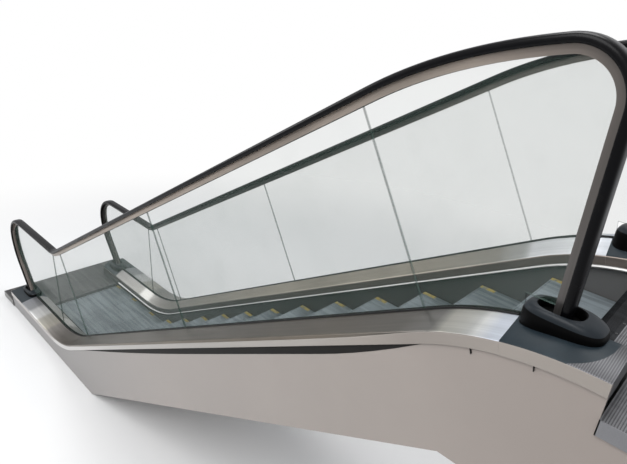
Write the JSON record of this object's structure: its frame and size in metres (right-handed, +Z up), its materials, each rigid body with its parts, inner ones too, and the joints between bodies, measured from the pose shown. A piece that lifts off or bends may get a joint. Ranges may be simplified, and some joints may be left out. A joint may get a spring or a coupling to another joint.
{
  "type": "escalator",
  "caption": "Escalator with glass balustrades, moving handrails, cleated steps between combs, landing plates, brushed decks and a plain clad side, from the ground up to an upper landing.",
  "frame": {"origin": "on the ground under the lower landing, at the lower bend of the balustrade line and midway between the balustrades", "axes": "+X up the flight, +Y to the left of a rider going up, +Z up"},
  "size_m": [6.9558, 1.384, 3.5499],
  "materials": {
    "panel": "satin",
    "underside": "satin",
    "tread": "satin",
    "landing": "satin",
    "comb": "satin",
    "deck": "brushed",
    "inner_panel": "brushed",
    "skirting": "satin",
    "structure": "matte",
    "clamp": "satin",
    "seal": "matte",
    "brush": "matte",
    "glass": "clear",
    "guide": "satin",
    "grip": "satin",
    "housing": "satin"
  },
  "bodies": {
    "root": {"soffit_pan": "underside", "lower_landing_plate": "landing", "lower_comb_plate": "landing", "lower_comb": "comb", "upper_landing_plate": "landing", "upper_comb_plate": "landing", "upper_comb": "comb", "upper_landing_frame": "structure", "upper_end_plate": "structure", "upper_bearing": "structure", "step_tracks": "structure", "lower_flat_steps": "tread", "lower_curve_steps": "tread", "lower_slope_steps": "tread", "upper_slope_steps": "tread", "upper_curve_steps": "tread", "right_truss": "structure", "left_truss": "structure", "right_cladding": "panel", "left_cladding": "panel", "right_outer_deck": "deck", "left_outer_deck": "deck", "right_inner_deck": "inner_panel", "left_inner_deck": "inner_panel", "right_skirt": "skirting", "left_skirt": "skirting", "right_skirt_brush": "brush", "left_skirt_brush": "brush", "right_glass_clamp": "clamp", "left_glass_clamp": "clamp", "right_glass_seal": "seal", "left_glass_seal": "seal", "right_glass_panels": "glass", "left_glass_panels": "glass", "right_handrail_guide": "guide", "left_handrail_guide": "guide", "right_handrail": "grip", "left_handrail": "grip", "right_lower_inlet_cap": "housing", "left_lower_inlet_cap": "housing", "right_upper_inlet_cap": "housing", "left_upper_inlet_cap": "housing"}
  },
  "joints": []
}
